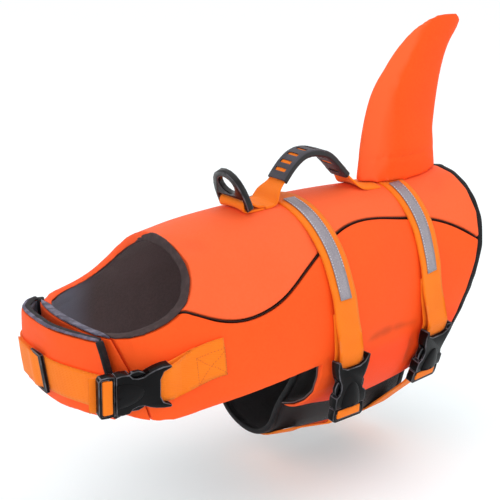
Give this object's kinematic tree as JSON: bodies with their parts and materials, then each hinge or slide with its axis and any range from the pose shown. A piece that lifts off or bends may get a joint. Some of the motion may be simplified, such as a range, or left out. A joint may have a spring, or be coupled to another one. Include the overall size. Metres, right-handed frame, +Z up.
{
  "type": "dog life jacket",
  "caption": "Orange foam-filled life jacket for a dog, with a shark-fin top, grab handle, leash ring, belly sling and side-release buckles.",
  "frame": {"origin": "on the wearer's back: the inner face of the lining on the centre line, under the handle", "axes": "+X towards the tail, +Y towards the wearer's right, +Z up"},
  "size_m": [0.4636, 0.2048, 0.3878],
  "materials": {
    "coral cloth": "woven",
    "orange cloth": "woven",
    "fin cloth": "woven",
    "webbing": "woven",
    "dark lining": "woven",
    "grey binding": "woven",
    "black cloth": "woven",
    "reflective tape": "satin",
    "black plastic": "satin",
    "grip rubber": "matt"
  },
  "bodies": {
    "jacket": {"back_panel": "coral cloth", "back_strap_front": "webbing", "back_strap_rear": "webbing", "belly_sling": "black cloth", "belly_strap_front": "webbing", "belly_strap_rear": "webbing", "buckle_female_chest": "black plastic", "buckle_female_front": "black plastic", "buckle_female_rear": "black plastic", "buckle_male_chest": "black plastic", "buckle_male_front": "black plastic", "buckle_male_rear": "black plastic", "chest_flap_left": "orange cloth", "chest_flap_right": "orange cloth", "chest_slider": "black plastic", "chest_strap": "webbing", "chest_strap_patch": "webbing", "fin": "fin cloth", "flap_binding_left": "grey binding", "flap_binding_right": "grey binding", "flap_lining_left": "dark lining", "flap_lining_right": "dark lining", "handle_grip": "grip rubber", "handle_webbing": "webbing", "lining": "dark lining", "neck_binding": "grey binding", "neck_tape": "black cloth", "piping_left": "black cloth", "piping_right": "black cloth", "rear_binding": "black cloth", "reflective_tape_front_left": "reflective tape", "reflective_tape_front_right": "reflective tape", "reflective_tape_rear_left": "reflective tape", "reflective_tape_rear_right": "reflective tape", "ring_loop": "webbing", "side_panel_left": "orange cloth", "side_panel_right": "orange cloth", "sling_binding_front": "black cloth", "sling_binding_rear": "black cloth"},
    "leash_ring": {"d_ring": "black plastic"}
  },
  "joints": [
    {"name": "ring_hinge", "type": "hinge", "parent": "jacket", "child": "leash_ring", "pos_m": [-0.079, 0, 0.0142], "axis": [0, 1, 0], "range_deg": [-60, 70]}
  ]
}
